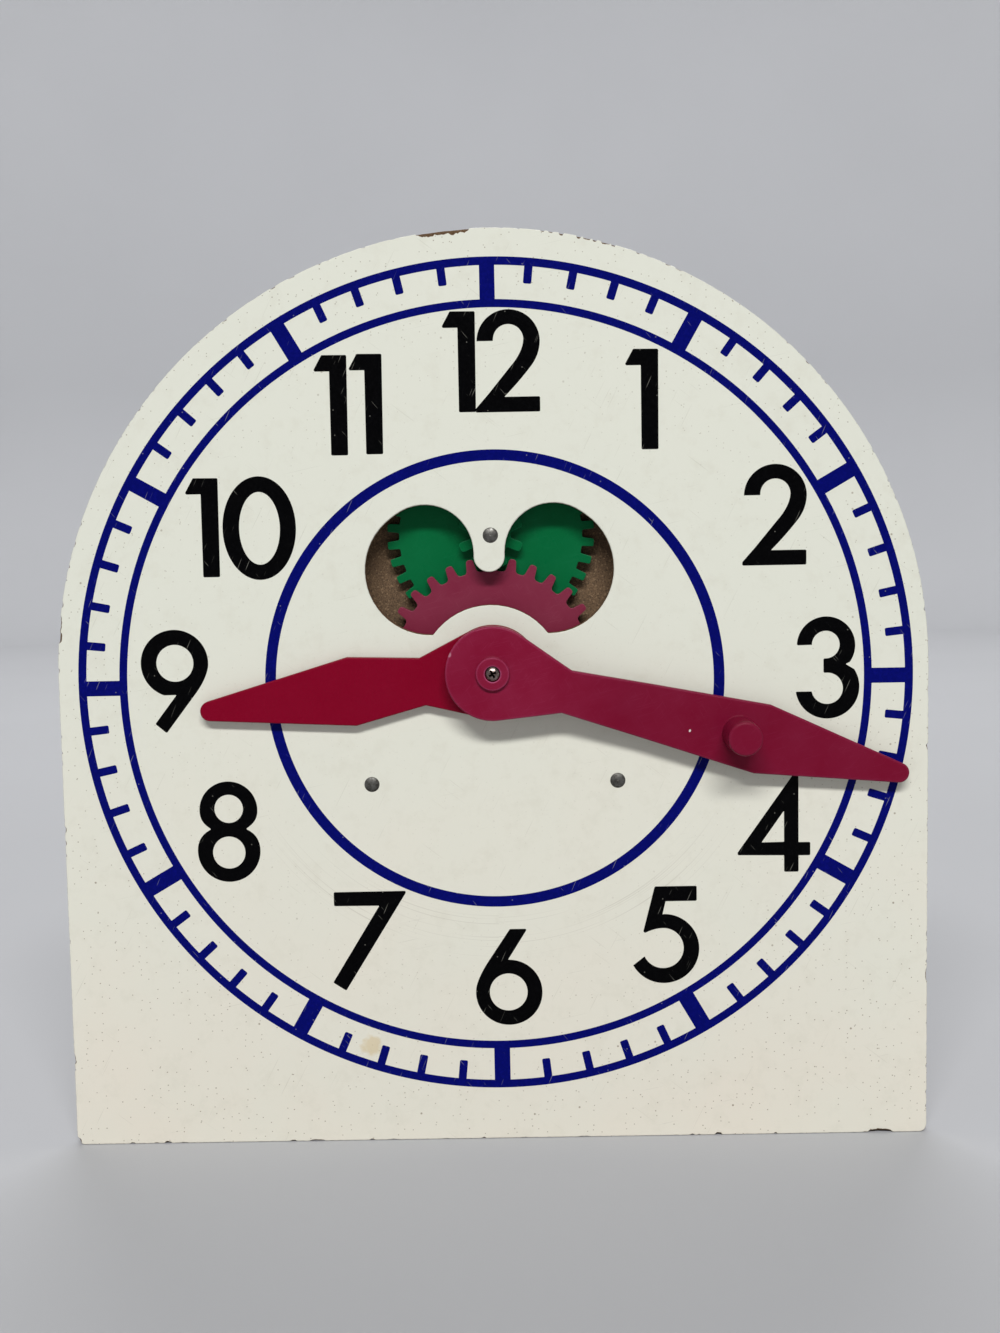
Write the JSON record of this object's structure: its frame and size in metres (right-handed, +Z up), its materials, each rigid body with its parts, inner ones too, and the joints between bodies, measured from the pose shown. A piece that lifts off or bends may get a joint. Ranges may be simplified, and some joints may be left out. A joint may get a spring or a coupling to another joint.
{
  "type": "geared teaching clock",
  "caption": "Arched hardboard clock dial whose hour and minute hands turn in step through plastic gears seen in a window",
  "frame": {"origin": "middle of the dial board's bottom edge, halfway through its thickness", "axes": "+X to the right across the dial, +Y through the dial from front to back, +Z up towards 12 o'clock"},
  "size_m": [0.324, 0.0429, 0.341],
  "materials": {
    "dial_paint": "satin off-white paint on hardboard",
    "plate_hardboard": "bare brown hardboard",
    "steel_rivet": "dull steel",
    "steel_screw": "plated steel",
    "fibre_washer": "black fibre",
    "maroon_plastic": "moulded, satin",
    "red_plastic": "moulded, satin",
    "green_plastic": "moulded, satin"
  },
  "bodies": {
    "frame": {"dial_board": "dial_paint", "back_plate": "plate_hardboard", "top_rivet": "steel_rivet", "left_rivet": "steel_rivet", "right_rivet": "steel_rivet", "top_burr": "steel_rivet", "left_burr": "steel_rivet", "right_burr": "steel_rivet", "idler_axle": "steel_rivet", "left_spacer": "steel_rivet", "right_spacer": "steel_rivet", "hour_washer": "fibre_washer", "thrust_washer": "fibre_washer"},
    "minute": {"minute_gear": "maroon_plastic", "minute_hand": "maroon_plastic", "minute_washer": "fibre_washer", "hand_screw": "steel_screw"},
    "idler": {"idler_gear": "green_plastic"},
    "hour": {"hour_gear": "maroon_plastic", "hour_hand": "red_plastic"}
  },
  "joints": [
    {"name": "minute_turn", "type": "hinge", "parent": "frame", "child": "minute", "pos_m": [0, 0, 0.179], "axis": [0, 1, 0], "continuous": true},
    {"name": "idler_turn", "type": "hinge", "parent": "frame", "child": "idler", "pos_m": [0, 0, 0.2294], "axis": [0, 1, 0], "continuous": true},
    {"name": "hour_turn", "type": "hinge", "parent": "frame", "child": "hour", "pos_m": [0, 0, 0.179], "axis": [0, 1, 0], "continuous": true}
  ],
  "couplings": [
    {"joint": "idler_turn", "follows": "minute_turn", "ratio": -0.33333},
    {"joint": "hour_turn", "follows": "minute_turn", "ratio": 0.083333}
  ]
}
